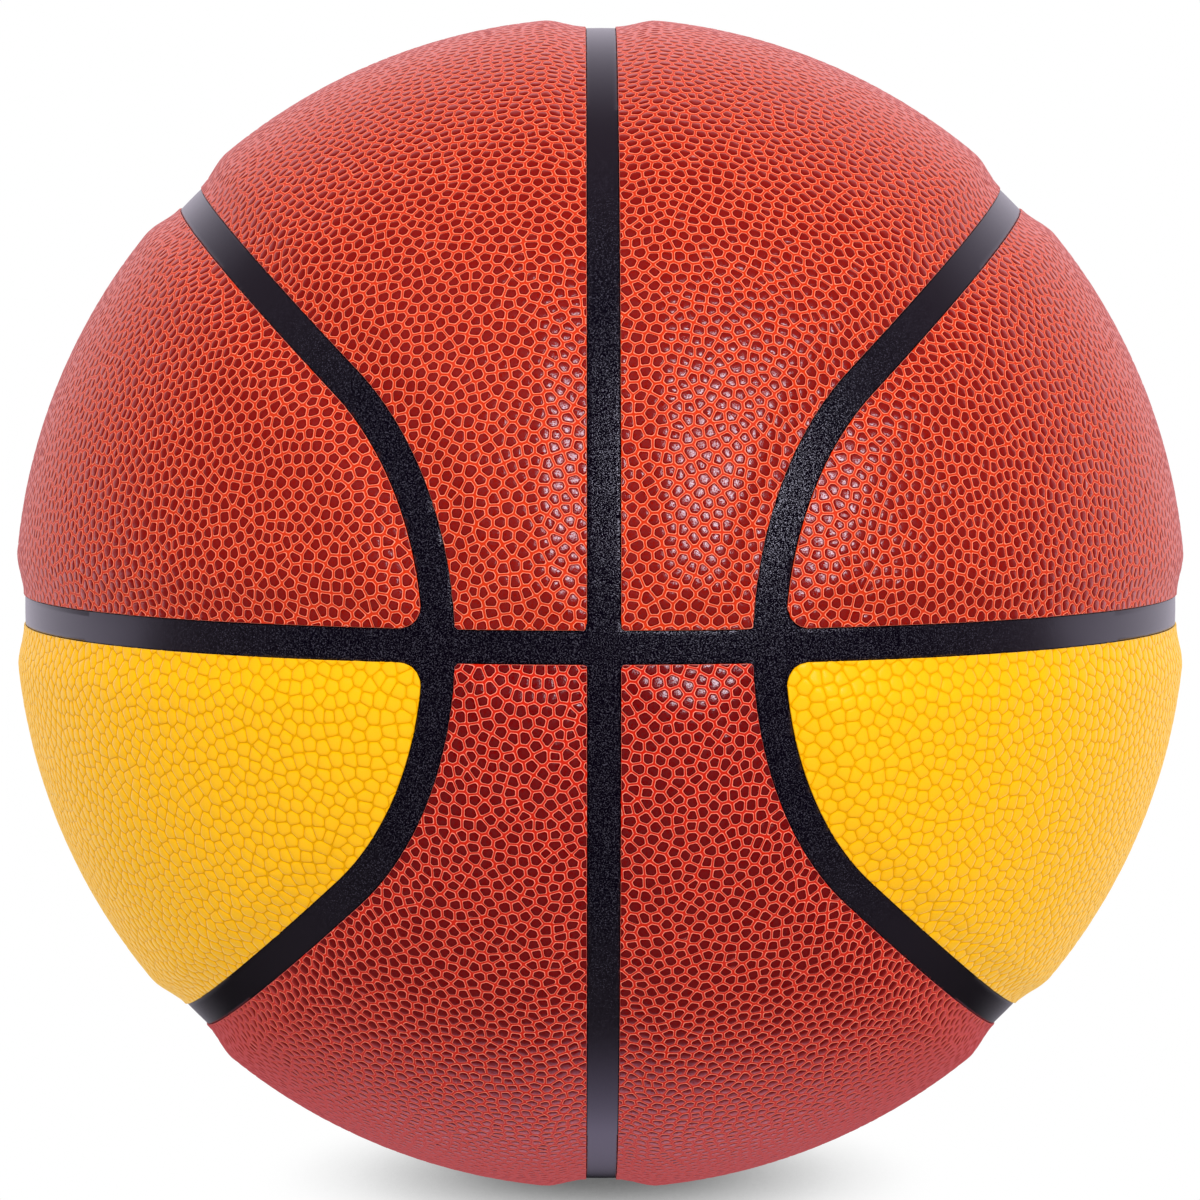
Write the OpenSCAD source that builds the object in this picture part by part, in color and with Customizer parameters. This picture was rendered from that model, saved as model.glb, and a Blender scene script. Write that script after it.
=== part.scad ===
// Basketball with eight pebbled panels, built up in layers around an air bladder.
// The origin is the ball's centre. Z is up, and the photographed side faces -Y.
// One meridian channel lies in the plane x = 0 and one equator channel in z = 0.
// A closed loop channel goes round each of the two sides, +X and -X.

/* [Ball] */
// Diameter over the crowns of the panels
ball_d = 238.5; // [180:0.5:260]

/* [Channels] */
// Width of a channel between the panel edges
channel_w = 6.3; // [4:0.1:9]
// How far a panel's edge lies below the ball's own round
edge_drop = 1.7; // [0.5:0.1:2.4]
// Width of the rounded shoulder between a panel's crown and its edge
shoulder_w = 8.4; // [5:0.1:12]
// Thickness of the channel strip on the carcass
strip_t = 1; // [0.3:0.1:1.4]
// Tilt of a loop's broad arcs against the equator, in degrees
loop_tilt = 45; // [38:0.5:50]
// Distance along the equator from the meridian channel to a loop channel
band_end = 30; // [22:0.1:44]
// Corner radius of the panels inside a loop
corner_r = 4.3; // [2:0.1:8]

/* [Layers] */
// Thickness of the pebbled cover over a pad
cover_t = 1.6; // [1:0.1:3]
// Thickness of the cushion pad under each panel
pad_t = 1.7; // [1:0.1:3]
// Distance from a panel's edge to the edge of its pad
pad_inset = 5; // [3:0.1:9]
// Thickness of the rubber carcass
carcass_t = 3; // [1:0.1:6]
// Thickness of the wound thread layer
winding_t = 1.2; // [0.5:0.1:3]
// Wall of the air bladder
bladder_t = 1.5; // [0.8:0.1:4]

/* [Valve] */
// Distance from the back of the loop channel to the valve, along the equator
valve_from_loop = 49; // [34:0.5:90]
// Distance from the equator channel up to the valve
valve_rise = 31; // [24:0.5:44]
// Diameter of the valve's neck in its hole through the layers
neck_d = 8; // [6:0.1:10]
// Depth of the neck's face below the cover
neck_sink = 0.6; // [0.2:0.1:1]
// Reach of the neck inside the bladder
neck_reach = 9; // [4:0.5:16]
// Diameter of the flange bonded to the bladder
flange_d = 28; // [16:0.5:40]
// Thickness of the flange
flange_t = 1.4; // [0.8:0.1:3]
// Diameter of the valve's soft core
core_d = 4.6; // [3:0.1:5.4]
// Length of the soft core
core_l = 14; // [8:0.5:16]
// Diameter of the needle bore in the core
bore_d = 2; // [1.5:0.1:2.4]
// Depth of the needle bore
bore_l = 12; // [6:0.5:13]

/* [Hidden] */
$fn = 120;
// How far a cut runs past the face that it goes through
overrun = 1;

// Steps of an outline: along a tight arc, along a broad arc and across an end
tight_steps = 5;
broad_steps = 18;
end_steps = 6;
long_steps = 2 * tight_steps + broad_steps;
ring_count = 2 * (long_steps + end_steps);
// Where the shoulder has its contour lines, as shares of its width
shoulder_shares = [0, 0.35, 0.7, 1];

// Radii of the layers, from the outside in
ball_r = ball_d / 2;
pad_top_r = ball_r - cover_t;
carcass_r = pad_top_r - pad_t;
winding_r = carcass_r - carcass_t;
bladder_r = winding_r - winding_t;
air_r = bladder_r - bladder_t;
// Channel walls and pad edges, measured from the channels' middle lines
edge_c = channel_w / 2;
pad_c = edge_c + pad_inset;

// Degrees that a length along the ball's round takes up
function turn_of(length) = length / ball_r * 180 / PI;
// Angle from the side pole to where a loop crosses the equator
loop_reach = 90 - turn_of(band_end);
// Valve place: round the ball from +X towards +Y, and above the equator
valve_around = loop_reach - turn_of(valve_from_loop);
valve_up = turn_of(valve_rise);

// A loop is two broad arcs, in planes tilted both ways, joined by two tight arcs
// that touch them. This is the side pole angle of a tight arc's axis
tight_at = atan((sin(loop_reach) - sin(loop_tilt)) / cos(loop_reach));
// Half angle of a tight arc's cone
tight_half = loop_reach - tight_at;
tight_axis = [cos(tight_at), -sin(tight_at), 0];
// Directions across a tight arc: away from the side pole, and up
tight_out = [-sin(tight_at), -cos(tight_at), 0];
tight_up = [0, 0, 1];
// Top of a broad arc, and the direction across it into the loop
broad_top = [cos(loop_tilt), 0, sin(loop_tilt)];
broad_in = [sin(loop_tilt), 0, -cos(loop_tilt)];
// Where the two kinds of arc touch, in the front upper right quarter
touch = unit(tight_axis - broad_in * (tight_axis * broad_in));
broad_span = acos(touch * broad_top);
tight_span = angle_about_tight(touch);

// What lies on the carcass has flat facets. Their corners stand off by this factor,
// so that their middles just rest on the round carcass
widest_step = norm([2 * broad_span / broad_steps, (90 - loop_tilt) / end_steps]);
seat_r = carcass_r / cos(widest_step / 2);
strip_top_r = seat_r + strip_t;

function unit(v) = v / norm(v);
function flip_y(v) = [v[0], -v[1], v[2]];
function backwards(list) = [for (i = [len(list) - 1:-1:0]) list[i]];
function between(a, b, share) = a + (b - a) * share;
// Turn of a direction about the tight arc's axis, from the equator upwards
function angle_about_tight(v) = atan2(v * tight_up, v * tight_out);

// Points at radius r, each c inside the channel's middle line.
// The side tells which side of the loop: 1 is inside it, -1 is outside it
function on_equator(around, r, c) =
    [cos(around), sin(around), 0] * sqrt(r * r - c * c) + [0, 0, c];
function on_meridian(turn, r, c) =
    [0, -cos(turn), sin(turn)] * sqrt(r * r - c * c) + [c, 0, 0];
function on_broad(turn, r, c, side) =
    (broad_top * cos(turn) + [0, sin(turn), 0]) * sqrt(r * r - c * c) + broad_in * c * side;
function on_tight(turn, r, c, side) =
    let (a = tight_half - side * asin(c / r))
    r * (tight_axis * cos(a) + (tight_out * cos(turn) + tight_up * sin(turn)) * sin(a));

// Longitude where a line c off the equator meets a line c off the tight arc
function meeting(r, c, side) =
    let (up = asin(c / r), a = tight_half - side * up)
    tight_at + acos(cos(a) / cos(up));
function meeting_dir(r, c, side) =
    let (up = asin(c / r), around = meeting(r, c, side))
    [cos(up) * cos(around), -cos(up) * sin(around), sin(up)];

// The loop's part of an outline, from the front corner over the top to the back
function loop_side(r, c, side, corner) =
    let (
        start = angle_about_tight(meeting_dir(r, c + corner, side)),
        tight = [for (i = [0:tight_steps - 1])
            on_tight(between(start, tight_span, i / tight_steps), r, c, side)],
        broad = [for (i = [0:broad_steps])
            on_broad(between(-broad_span, broad_span, i / broad_steps), r, c, side)]
    )
    concat(tight, broad, [for (p = backwards(tight)) flip_y(p)]);

// Rounded front corner between the equator and the loop
function corner_side(r, c, corner) =
    let (
        middle = meeting_dir(r, c + corner, 1),
        down = unit(middle * middle[2] - [0, 0, 1]),
        out = unit(middle * (middle * tight_axis) - tight_axis),
        sweep = acos(down * out),
        reach = asin((c + corner) / r) - asin(c / r)
    )
    [for (j = [0:end_steps])
        let (
            turn = sweep * j / end_steps,
            way = (down * sin(sweep - turn) + out * sin(turn)) / sin(sweep)
        )
        r * (middle * cos(reach) + way * sin(reach))];

// Short front end along the equator, from the meridian to the loop
function equator_end(r, c) =
    let (from = 90 - asin(c / sqrt(r * r - c * c)), to = meeting(r, c, -1))
    [for (j = [0:end_steps]) on_equator(-between(from, to, j / end_steps), r, c)];

// One closed contour: the straight side, the back end, the loop side, the front end
function contour(front, straight, curved) =
    concat(
        straight,
        [for (j = [1:end_steps - 1]) flip_y(front[j])],
        backwards(curved),
        [for (j = [1:end_steps - 1]) front[end_steps - j]]
    );
function side_contour(r, c) =
    let (far = meeting(r, c + corner_r, 1))
    contour(
        corner_side(r, c, corner_r),
        [for (i = [0:long_steps]) on_equator(between(-far, far, i / long_steps), r, c)],
        loop_side(r, c, 1, corner_r)
    );
function band_contour(r, c) =
    let (from = asin(c / sqrt(r * r - c * c)))
    contour(
        equator_end(r, c),
        [for (i = [0:long_steps]) on_meridian(between(from, 180 - from, i / long_steps), r, c)],
        loop_side(r, c, -1, 0)
    );
function panel_contour(band, r, c) = band ? band_contour(r, c) : side_contour(r, c);

// Place in a contour of the grid point i along it and j across it
function rim_place(i, j) =
    j == 0 ? i
    : j == end_steps ? 2 * long_steps + end_steps - i
    : i == 0 ? ring_count - j
    : long_steps + j;
function is_rim(i, j) = i == 0 || i == long_steps || j == 0 || j == end_steps;
function grid_place(i, j, rim_start, inner_start) =
    is_rim(i, j) ? rim_start + rim_place(i, j)
    : inner_start + (i - 1) * (end_steps - 1) + j - 1;
function wall_faces(lower, upper) =
    [for (i = [0:ring_count - 1])
        let (next = (i + 1) % ring_count)
        each [[lower + i, lower + next, upper + next], [lower + i, upper + next, upper + i]]];
function grid_faces(rim_start, inner_start) =
    [for (i = [0:long_steps - 1], j = [0:end_steps - 1])
        let (
            a = grid_place(i, j, rim_start, inner_start),
            b = grid_place(i + 1, j, rim_start, inner_start),
            c = grid_place(i + 1, j + 1, rim_start, inner_start),
            d = grid_place(i, j + 1, rim_start, inner_start)
        )
        each [[a, b, c], [a, c, d]]];
// Points of the grid inside a contour, on the sphere that the contour lies on
function grid_points(ring) =
    [for (i = [1:long_steps - 1], j = [1:end_steps - 1])
        norm(ring[i])
            * unit(between(ring[i], ring[rim_place(i, end_steps)], j / end_steps))];

// Closed solid over the upper right panel. Its levels are contours, each a radius
// and a distance from the channels' middle, from the floor's rim round the edge
// to the crown's rim. Floor and crown are filled with a grid
module ringed_solid(band, levels) {
    rings = [for (level = levels) panel_contour(band, level[0], level[1])];
    last = len(levels) - 1;
    floor_start = len(levels) * ring_count;
    floor_points = grid_points(rings[0]);
    faces = concat(
        [for (k = [0:last - 1]) each wall_faces(k * ring_count, (k + 1) * ring_count)],
        grid_faces(last * ring_count, floor_start + len(floor_points)),
        [for (f = grid_faces(0, floor_start)) backwards(f)]
    );
    polyhedron(
        concat([for (ring = rings) each ring], floor_points, grid_points(rings[last])),
        // A band's contour runs the other way round than a side panel's
        band ? faces : [for (f = faces) backwards(f)]
    );
}

// How far a shoulder lies below the ball's round, at a share of its width. It is
// level at the edge and at the crown and steepest half way
function shoulder_drop(share) = edge_drop * (1 - share * share * (3 - 2 * share));

// Cover panel: pebbled crown, rounded shoulders down to the channels, a rim
// on the carcass and a pocket for the pad
module cover(band) {
    ringed_solid(band, concat(
        [[pad_top_r, pad_c], [seat_r, pad_c], [seat_r, edge_c]],
        [for (share = shoulder_shares)
            [ball_r - shoulder_drop(share), edge_c + shoulder_w * share]]
    ));
}

// Cushion pad that fills the pocket
module pad(band) {
    ringed_solid(band, [[seat_r, pad_c], [pad_top_r, pad_c]]);
}

// Sets a child made for the upper right into one of the four quarters
module quarter(left, lower) {
    mirror([left ? 1 : 0, 0, 0])
    mirror([0, 0, lower ? 1 : 0])
    children();
}

// Sets a child from the centre along +Z to the valve's axis
module at_valve() {
    rotate([0, 90 - valve_up, valve_around])
    children();
}

module valve_hole() {
    at_valve()
    cylinder(h = ball_r + overrun, d = neck_d);
}

module cover_side(left, lower, tint) {
    color(tint)
    difference() {
        quarter(left, lower) cover(false);
        if (!left && !lower) valve_hole();
    }
}

module cover_band(left, lower, tint) {
    color(tint)
    quarter(left, lower)
    cover(true);
}

module pad_side(left, lower) {
    color("lightgray")
    difference() {
        quarter(left, lower) pad(false);
        if (!left && !lower) valve_hole();
    }
}

module pad_band(left, lower) {
    color("lightgray")
    quarter(left, lower)
    pad(true);
}

// The channel net's corners: the eight panels' contours on each of its two faces,
// and the middles of the six crossings
quarters = [for (left = [0, 1], lower = [0, 1]) [left, lower]];
function set_in(v, left, lower) = [left ? -v[0] : v[0], v[1], lower ? -v[2] : v[2]];
function net_rings(r, c) =
    [for (band = [false, true], q = quarters, p = panel_contour(band, r, c))
        set_in(p, q[0], q[1])];
function net_middles(r) =
    concat(
        [[0, -r, 0], [0, r, 0]],
        [for (left = [0, 1], back = [0, 1])
            set_in(on_equator(loop_reach * (back ? 1 : -1), r, 0), left, 0)]
    );
net_count = 8 * ring_count;
function net_corner(band, left, lower, i, j) =
    ((band ? 4 : 0) + 2 * left + lower) * ring_count + rim_place(i, j);
// Triangles between two rows of corners that run side by side
function row_faces(row, other) =
    [for (k = [0:len(row) - 2])
        each [[row[k], row[k + 1], other[k + 1]], [row[k], other[k + 1], other[k]]]];
// Triangles from a middle point to a closed row of corners
function fan_faces(middle, row) =
    [for (k = [0:len(row) - 1]) [middle, row[k], row[(k + 1) % len(row)]]];
function net_faces() =
    let (ends = [0, long_steps])
    concat(
        [for (lower = [0, 1]) each row_faces(
            [for (i = [0:long_steps]) net_corner(true, 0, lower, i, 0)],
            [for (i = [0:long_steps]) net_corner(true, 1, lower, i, 0)])],
        [for (left = [0, 1]) each row_faces(
            [for (i = [0:long_steps]) net_corner(false, left, 0, i, 0)],
            [for (i = [0:long_steps]) net_corner(false, left, 1, i, 0)])],
        [for (left = [0, 1], end = ends) each row_faces(
            [for (j = [0:end_steps]) net_corner(true, left, 0, end, j)],
            [for (j = [0:end_steps]) net_corner(true, left, 1, end, j)])],
        [for (q = quarters) each row_faces(
            [for (i = [0:long_steps]) net_corner(true, q[0], q[1], i, end_steps)],
            [for (i = [0:long_steps]) net_corner(false, q[0], q[1], i, end_steps)])],
        [for (back = [0, 1]) each fan_faces(net_count + back, [
            net_corner(true, 0, 0, ends[back], 0), net_corner(true, 1, 0, ends[back], 0),
            net_corner(true, 1, 1, ends[back], 0), net_corner(true, 0, 1, ends[back], 0)])],
        [for (left = [0, 1], back = [0, 1]) each fan_faces(
            net_count + 2 + 2 * left + back,
            concat(
                [net_corner(true, left, 1, ends[back], end_steps),
                    net_corner(true, left, 0, ends[back], end_steps)],
                [for (j = [end_steps:-1:0]) net_corner(false, left, 0, ends[back], j)],
                [for (j = [0:end_steps]) net_corner(false, left, 1, ends[back], j)]
            ))]
    );
// The triangle's corners, turned so that its front faces along the given direction
function facing(points, face, way) =
    let (
        a = points[face[0]],
        b = points[face[1]],
        c = points[face[2]]
    )
    cross(b - a, c - a) * way > 0 ? backwards(face) : face;

// One moulded net of strips that shows black between all the panels
module channel_network() {
    low = concat(net_rings(seat_r, edge_c), net_middles(seat_r));
    high = concat(net_rings(strip_top_r, edge_c), net_middles(strip_top_r));
    towards_panels = net_rings(seat_r, pad_c);
    points = concat(low, high);
    flat = net_faces();
    faces = concat(
        [for (f = flat) facing(points, f, -points[f[0]])],
        [for (f = flat)
            let (g = [for (n = f) n + len(low)])
            facing(points, g, points[g[0]])],
        [for (n = [0:net_count - 1])
            let (
                next = n + 1 - ((n + 1) % ring_count == 0 ? ring_count : 0),
                way = towards_panels[n] - low[n] + towards_panels[next] - low[next]
            )
            each [
                facing(points, [n, next, next + len(low)], way),
                facing(points, [n, next + len(low), n + len(low)], way)
            ]]
    );
    color("#1d1b22")
    polyhedron(points, faces);
}

module layer(outer_r, inner_r) {
    difference() {
        sphere(r = outer_r);
        sphere(r = inner_r);
        valve_hole();
    }
}

module carcass() {
    color("#2b2a2c")
    layer(carcass_r, winding_r);
}

module thread_winding() {
    color("ivory")
    layer(winding_r, bladder_r);
}

module bladder() {
    color("#3a3638")
    layer(bladder_r, air_r);
}

// Neck from just under the cover's face into the air space, and the flange
// that follows the bladder's inner face
module valve_housing() {
    top_r = ball_r - neck_sink;
    low_r = air_r - neck_reach;
    color("#222024")
    difference() {
        union() {
            at_valve()
            translate([0, 0, low_r])
            cylinder(h = top_r - low_r, d = neck_d);
            intersection() {
                difference() {
                    sphere(r = air_r);
                    sphere(r = air_r - flange_t);
                }
                at_valve()
                cylinder(h = ball_r, d = flange_d);
            }
        }
        at_valve()
        translate([0, 0, top_r - core_l])
        cylinder(h = core_l + overrun, d = core_d);
    }
}

// Soft core that grips the inflation needle
module valve_core() {
    top_r = ball_r - neck_sink;
    color("#36322f")
    at_valve()
    difference() {
        translate([0, 0, top_r - core_l])
        cylinder(h = core_l, d = core_d);
        translate([0, 0, top_r - bore_l])
        cylinder(h = bore_l + overrun, d = bore_d);
    }
}

orange = "#d8472b";
amber = "#f5bd22";

cover_side(true, false, orange);  // cover_upper_left_side
cover_side(true, true, amber);  // cover_lower_left_side
cover_side(false, false, orange);  // cover_upper_right_side
cover_side(false, true, amber);  // cover_lower_right_side
cover_band(true, false, orange);  // cover_upper_left_band
cover_band(true, true, orange);  // cover_lower_left_band
cover_band(false, false, orange);  // cover_upper_right_band
cover_band(false, true, orange);  // cover_lower_right_band
pad_side(true, false);  // pad_upper_left_side
pad_side(true, true);  // pad_lower_left_side
pad_side(false, false);  // pad_upper_right_side
pad_side(false, true);  // pad_lower_right_side
pad_band(true, false);  // pad_upper_left_band
pad_band(true, true);  // pad_lower_left_band
pad_band(false, false);  // pad_upper_right_band
pad_band(false, true);  // pad_lower_right_band
channel_network();
carcass();
thread_winding();
bladder();
valve_housing();
valve_core();
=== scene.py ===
# %% [markdown]
# # A basketball with pebbled panels and black channels
#
# The ball has eight rubber panels. Two black channels cross on its front, one
# upright and one level, and a closed loop goes round each side. The four panels
# between the loops are orange-red. Inside each loop the upper panel is orange-red
# and the lower one is yellow.
#
# The solid model gives the place and the size of every layer. This lesson gives
# the outer pieces their real surface. Each cover gets its pebbles as a mesh, cell
# by cell, and the black net gets its rounded strips. The layers inside keep the
# shapes of the solid model and get a material each.
#
# All lengths are in metres. The ball's centre is the origin, Z is up, and the
# photographed side looks along -Y.

import math

import bpy
import numpy as np
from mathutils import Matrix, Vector
from mathutils.geometry import delaunay_2d_cdt


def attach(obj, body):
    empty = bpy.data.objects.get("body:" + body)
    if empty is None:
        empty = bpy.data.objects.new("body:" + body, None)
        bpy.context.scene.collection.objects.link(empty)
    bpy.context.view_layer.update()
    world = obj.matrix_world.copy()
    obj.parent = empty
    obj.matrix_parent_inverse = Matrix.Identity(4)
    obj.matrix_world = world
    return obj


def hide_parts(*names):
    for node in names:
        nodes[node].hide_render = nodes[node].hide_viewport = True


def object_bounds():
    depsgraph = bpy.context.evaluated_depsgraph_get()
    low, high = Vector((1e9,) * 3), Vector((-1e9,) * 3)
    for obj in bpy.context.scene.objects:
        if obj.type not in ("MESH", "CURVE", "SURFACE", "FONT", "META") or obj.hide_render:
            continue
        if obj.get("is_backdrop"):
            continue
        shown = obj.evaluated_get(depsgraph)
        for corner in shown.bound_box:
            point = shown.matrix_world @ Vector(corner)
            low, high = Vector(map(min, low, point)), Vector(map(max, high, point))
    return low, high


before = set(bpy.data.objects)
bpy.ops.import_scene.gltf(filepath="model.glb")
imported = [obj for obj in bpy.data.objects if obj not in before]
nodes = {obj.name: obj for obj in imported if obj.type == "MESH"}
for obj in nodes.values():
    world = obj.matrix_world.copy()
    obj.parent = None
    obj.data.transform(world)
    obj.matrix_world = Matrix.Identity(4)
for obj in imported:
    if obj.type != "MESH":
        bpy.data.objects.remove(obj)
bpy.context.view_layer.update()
print("solids in the model:", len(nodes))

# %% [markdown]
# ## Sizes of the ball
#
# These are the same sizes as in the solid model. A panel's crown lies on the
# ball's own round. Near a channel it curves down over the shoulder, steepest half
# way, and ends in an edge that stands a little above the black strip.

# %% Ball and channels
mm = 0.001
ball_r = 119.25 * mm
channel_half = 3.15 * mm
edge_drop = 1.7 * mm
edge_r = ball_r - edge_drop
shoulder_w = 8.4 * mm
strip_r = 117.2 * mm
carcass_seat_r = 116.35 * mm
pad_top_r = 117.65 * mm
pad_inset = 5.0 * mm
side_corner_r = 4.3 * mm
band_corner_r = 0.5 * mm

loop_tilt = math.radians(45)
loop_reach = math.pi / 2 - 30 * mm / ball_r

valve_around = loop_reach - 49 * mm / ball_r
valve_up = 31 * mm / ball_r
valve_hole_r = 4.0 * mm
valve_lip = 2.2 * mm
print("radius over the crowns:", round(ball_r / mm, 2), "mm")
print("radius over the strips:", round(strip_r / mm, 2), "mm")

# %% [markdown]
# ## The channels as distances
#
# Everything outside is laid out by one question: how far is a place on the ball
# from the nearest channel? The upright and the level channel are great circles,
# so the answer is one coordinate of the direction. A loop is made of two broad
# arcs, which are great circles tilted by 45 degrees, and of two tight arcs round
# an axis on the equator. The gate is the plane in which the two kinds touch.

# %% Distances from the channels
tight_at = math.atan((math.sin(loop_reach) - math.sin(loop_tilt)) / math.cos(loop_reach))
tight_half = loop_reach - tight_at
tight_axis = np.array([math.cos(tight_at), -math.sin(tight_at), 0.0])
broad_in = np.array([math.sin(loop_tilt), 0.0, -math.cos(loop_tilt)])
on_equator = np.array([math.cos(loop_reach), -math.sin(loop_reach), 0.0])
gate = np.cross(tight_axis, broad_in)
gate = gate * np.sign(gate @ on_equator)


def unit(v):
    return v / np.linalg.norm(v, axis=-1, keepdims=True)


def inside_loop(way):
    """Distance from the loop's middle line, more than 0 on the side pole's side."""
    front = way * np.array([1, 0, 1]) - np.abs(way * np.array([0, 1, 0]))
    tight = tight_half - np.arccos(np.clip(front @ tight_axis, -1, 1))
    on_tight = front @ gate > 0
    return edge_r * np.where(on_tight, np.sin(tight), front @ broad_in)


def rounded_least(a, b, radius):
    """The lesser of two distances, with a round corner where both are small."""
    least = np.minimum(a, b)
    corner = radius - np.hypot(np.maximum(radius - a, 0), np.maximum(radius - b, 0))
    return np.where(least < radius, corner, least)


def inside_side(way):
    """Distance inside the edge of the upper right side panel."""
    level = edge_r * way[..., 2] - channel_half
    return rounded_least(level, inside_loop(way) - channel_half, side_corner_r)


def inside_band(way):
    """Distance inside the edge of the upper right band panel."""
    level = edge_r * way[..., 2] - channel_half
    upright = edge_r * way[..., 0] - channel_half
    ends = rounded_least(level, upright, band_corner_r)
    return rounded_least(ends, -inside_loop(way) - channel_half, band_corner_r)


def base_radius(inside):
    """Radius of a panel's crown and shoulder at a distance inside its edge."""
    share = np.clip(inside / shoulder_w, 0, 1)
    return ball_r - edge_drop * (1 - share * share * (3 - 2 * share))


print("loop crosses the equator at", round(math.degrees(loop_reach), 1), "degrees")
print("tight arc's axis at", round(math.degrees(tight_at), 1), "degrees")

# %% [markdown]
# ## Pebbles
#
# On the real ball the pebbles are moulded into the cover. They are small uneven
# polygons that lie close together, with a narrow valley between them. Points
# spread evenly over the sphere and moved a little at random give that pattern:
# each point owns the ground that is nearer to it than to any other. A few rounds of
# moving each point to the middle of its ground even out the sizes.
#
# A bump texture could draw the pebbles too, but it leaves the surface flat at the
# cut edges and at the outline. As a mesh they are really there.
#
# A flat map of the panel keeps circles round, so the triangles between
# neighbouring points can be found on that map.

# %% Points and their neighbours
golden_turn = math.pi * (3 - math.sqrt(5))
jitter_share = 0.65
margin = 5.5 * mm
settle_rounds = 7
longest_move = 0.5
tiny = 1e-12


def even_spread(ground):
    """Directions in an even spiral over the sphere, each with the same ground."""
    count = int(4 * math.pi * ball_r**2 / ground)
    rank = np.arange(count) + 0.5
    height = 1 - 2 * rank / count
    across = np.sqrt(1 - height**2)
    turn = rank * golden_turn
    return np.stack([across * np.cos(turn), across * np.sin(turn), height], axis=1)


def map_axes(centre):
    """Two directions across a panel's centre, the second along its length."""
    long_way = np.array([0.0, 1.0, 0.0])
    return np.cross(long_way, centre), long_way


def flat_map(way, centre):
    """Places on a flat map of the sphere that keeps circles round."""
    across, along = map_axes(centre)
    depth = 1 + way @ centre
    return np.stack([way @ across / depth, way @ along / depth], axis=1)


def join_neighbours(way, centre):
    """Triangles between neighbouring directions."""
    flat = [tuple(place) for place in flat_map(way, centre).tolist()]
    return np.array(delaunay_2d_cdt(flat, [], [], 0, tiny)[2])


def ground_corners(way, faces):
    """The direction that is equally far from a triangle's three points."""
    a, b, c = (way[faces[:, k]] for k in range(3))
    return unit(np.cross(b - a, c - a))


def settle(way, centre, pitch):
    """Moves each point to the middle of its ground."""
    for _ in range(settle_rounds):
        faces = join_neighbours(way, centre)
        corners = ground_corners(way, faces)
        moment = np.zeros_like(way)
        ground = np.zeros(len(way))
        for k in range(3):
            own = way[faces[:, k]]
            after = (own + way[faces[:, (k + 1) % 3]]) / 2
            before = (own + way[faces[:, (k + 2) % 3]]) / 2
            for first, last in ((after, corners), (corners, before)):
                area = np.sum(np.cross(first - own, last - own) * own, axis=1)
                np.add.at(moment, faces[:, k], (own + first + last) * area[:, None])
                np.add.at(ground, faces[:, k], 3 * area)
        middle = moment / np.maximum(ground, tiny)[:, None]
        near = np.linalg.norm(middle - way, axis=1) < longest_move * pitch
        way[near] = unit(middle[near])
    return way


print("directions for 5 square mm each:", len(even_spread(5 * mm * mm)))

# %% [markdown]
# ## One pebble as a mesh
#
# A cell starts at its corners, which lie in the middle of the valleys and are
# shared with the neighbours. A ring with two points for each side of the cell is
# the rim of the pebble. It keeps off the sides, rounds off the corners and is held
# back in the long direction of a long cell. A second ring inside it is the edge of
# the nearly flat top, and a last point closes the top in the middle. A fine grid
# pushed up and down would need many more triangles for rims as crisp as these.
#
# The rise of each ring, from 0 in the valley to 1 at the top, is kept with the mesh,
# because the material needs it too.

# %% Cells of a panel
height_spread = (-0.12, 0.02)
rim_spread = 0.15
least_room = 0.2
side_points = (0.25, 0.75)
shortest_side = 1e-9


def cell_places(way, faces, kept, helper):
    """Tables with a row for each kept cell: its corners in order and their places."""
    corners = ground_corners(way, faces)
    owner = faces.ravel()
    corner = np.repeat(np.arange(len(faces)), 3)
    east = unit(np.cross(helper, way))
    north = np.cross(way, east)
    seen = corners[corner]
    depth = np.sum(seen * way[owner], axis=1)
    u = np.sum(seen * east[owner], axis=1) / depth
    v = np.sum(seen * north[owner], axis=1) / depth
    order = np.lexsort((np.arctan2(v, u), owner))
    corner, u, v = corner[order], u[order], v[order]
    first = np.searchsorted(owner[order], np.arange(len(way)))
    number = np.bincount(owner, minlength=len(way))
    step = np.arange(number[kept].max())[None, :]
    here = first[kept][:, None] + step % number[kept][:, None]
    real = step < number[kept][:, None]
    place = np.stack([u[here], v[here]], axis=2)
    return corners, corner[here], place, real, east[kept], north[kept]


def ring_reach(toward, normal, distance, real, inset, look):
    """How far a rounded ring reaches in each direction, inset from the cell's sides."""
    facing = np.clip(np.einsum("ckx,cex->cke", toward, normal), 0, None)
    room = np.where(real, np.maximum(distance - inset, least_room * inset), 0)
    limit = look["limit"] * room.sum(axis=1, keepdims=True) / real.sum(axis=1, keepdims=True)
    closeness = np.where(real, 1 / np.maximum(room, shortest_side), 0)
    total = np.sum((facing * closeness[:, None, :]) ** look["sharp"], axis=2)
    return (total + limit ** -look["sharp"]) ** (-1 / look["sharp"])


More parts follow.
